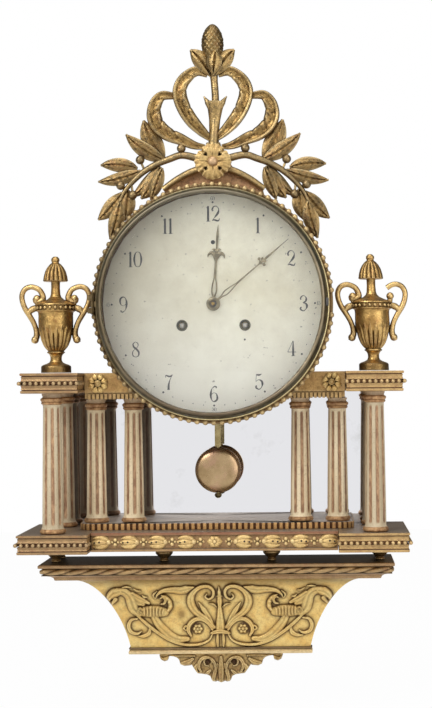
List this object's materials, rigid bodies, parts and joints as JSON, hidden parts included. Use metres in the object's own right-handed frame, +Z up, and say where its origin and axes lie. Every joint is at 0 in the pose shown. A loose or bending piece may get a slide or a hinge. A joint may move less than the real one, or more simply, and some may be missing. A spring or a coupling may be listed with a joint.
{
  "type": "cartel clock",
  "caption": "Giltwood columned wall clock with a round glazed dial, pendulum before a mirror, urns and a laurel crest, standing on a carved wall bracket.",
  "frame": {"origin": "rear face of the bracket's backboard, on the middle line, 49 mm below the shelf's top", "axes": "+Z up, +Y into the wall, +X to the viewer's right"},
  "size_m": [0.449, 0.146, 0.7753],
  "materials": {
    "gilt": "worn water gilding over red bole",
    "cream_paint": "aged cream paint with coppery flutes",
    "wood": "dark stained pine",
    "brass": "dull lacquered brass",
    "steel": "polished steel",
    "silvered": "silvered, cloudy with age",
    "glass": "clear domed glass",
    "mirror": "silvered plate glass"
  },
  "bodies": {
    "case": {"bracket_panel": "gilt", "bracket_rail": "gilt", "bracket_pendant": "gilt", "foot_left_front": "gilt", "foot_left_inner": "gilt", "foot_right_inner": "gilt", "foot_right_front": "gilt", "foot_left_rear": "gilt", "foot_right_rear": "gilt", "base_block_left": "gilt", "base_block_right": "gilt", "base_slab": "gilt", "entablature_block_left": "gilt", "entablature_block_right": "gilt", "entablature_beam": "gilt", "rosette_left": "gilt", "rosette_right": "gilt", "urn_left": "gilt", "urn_right": "gilt", "bead_ring": "gilt", "crest_scrolls": "gilt", "crest_flower": "gilt", "laurel_left": "gilt", "laurel_right": "gilt", "column_left_front": "cream_paint", "column_left_rear": "cream_paint", "column_left_middle": "cream_paint", "column_left_inner": "cream_paint", "column_right_front": "cream_paint", "column_right_rear": "cream_paint", "column_right_middle": "cream_paint", "column_right_inner": "cream_paint", "bracket_shelf": "wood", "bracket_backboard": "wood", "plinth_step": "wood", "mirror_backboard": "wood", "drum_shell": "wood", "crest_base": "wood", "bezel_hinge": "brass", "movement_front_plate": "brass", "movement_back_plate": "brass", "dial_plate": "silvered", "mirror_glass": "mirror"},
    "bezel": {"bezel_ring": "brass", "bezel_glass": "glass"},
    "minute": {"cannon_pinion": "steel", "minute_hand": "brass"},
    "hour": {"hour_wheel": "brass", "hour_hand": "brass"},
    "minute_wheel": {"minute_wheel": "brass"},
    "centre": {"centre_wheel": "brass"},
    "third": {"third_wheel": "brass"},
    "escape": {"escape_wheel": "brass"},
    "barrel": {"going_barrel": "brass"},
    "going_arbor": {"going_arbor": "steel"},
    "strike_arbor": {"strike_arbor": "steel"},
    "pendulum": {"pendulum_rod": "brass", "pendulum_bob": "brass"},
    "rating_nut": {"rating_nut": "brass"},
    "pallets": {"pallet_anchor": "steel"}
  },
  "joints": [
    {"name": "bezel_swing", "type": "hinge", "parent": "case", "child": "bezel", "pos_m": [-0.1362, -0.1222, 0.3485], "axis": [0, 0, -1], "range_deg": [0, 110]},
    {"name": "minute_hand_turn", "type": "hinge", "parent": "case", "child": "minute", "pos_m": [0, -0.08, 0.3485], "axis": [0, 1, 0], "continuous": true},
    {"name": "minute_wheel_turn", "type": "hinge", "parent": "case", "child": "minute_wheel", "pos_m": [0, -0.08, 0.3305], "axis": [0, 1, 0], "continuous": true},
    {"name": "hour_hand_turn", "type": "hinge", "parent": "case", "child": "hour", "pos_m": [0, -0.08, 0.3485], "axis": [0, 1, 0], "continuous": true},
    {"name": "third_wheel_turn", "type": "hinge", "parent": "case", "child": "third", "pos_m": [-0.01736, -0.08, 0.36839], "axis": [0, 1, 0], "continuous": true},
    {"name": "centre_wheel_turn", "type": "hinge", "parent": "case", "child": "centre", "pos_m": [0, -0.08, 0.3485], "axis": [0, 1, 0], "continuous": true},
    {"name": "escape_wheel_turn", "type": "hinge", "parent": "case", "child": "escape", "pos_m": [0, -0.08, 0.381], "axis": [0, 1, 0], "continuous": true},
    {"name": "barrel_turn", "type": "hinge", "parent": "case", "child": "barrel", "pos_m": [0.036, -0.08, 0.324], "axis": [0, 1, 0], "continuous": true},
    {"name": "going_wind", "type": "hinge", "parent": "case", "child": "going_arbor", "pos_m": [0.036, -0.08, 0.324], "axis": [0, 1, 0], "continuous": true},
    {"name": "strike_wind", "type": "hinge", "parent": "case", "child": "strike_arbor", "pos_m": [-0.036, -0.08, 0.324], "axis": [0, 1, 0], "continuous": true},
    {"name": "pendulum_swing", "type": "hinge", "parent": "case", "child": "pendulum", "pos_m": [0, -0.047, 0.403], "axis": [0, 1, 0], "range_deg": [-4, 4]},
    {"name": "pallet_rock", "type": "hinge", "parent": "case", "child": "pallets", "pos_m": [0, -0.07, 0.403], "axis": [0, 1, 0], "range_deg": [-4, 4]},
    {"name": "rating_nut_turn", "type": "hinge", "parent": "pendulum", "child": "rating_nut", "pos_m": [0, -0.047, 0.1255], "axis": [0, 0, 1], "continuous": true}
  ],
  "couplings": [
    {"joint": "minute_wheel_turn", "follows": "minute_hand_turn", "ratio": -0.33333},
    {"joint": "hour_hand_turn", "follows": "minute_hand_turn", "ratio": 0.083333},
    {"joint": "centre_wheel_turn", "follows": "third_wheel_turn", "ratio": -0.1},
    {"joint": "escape_wheel_turn", "follows": "third_wheel_turn", "ratio": -12},
    {"joint": "barrel_turn", "follows": "third_wheel_turn", "ratio": 0.016667},
    {"joint": "pallet_rock", "follows": "pendulum_swing", "ratio": 1}
  ]
}
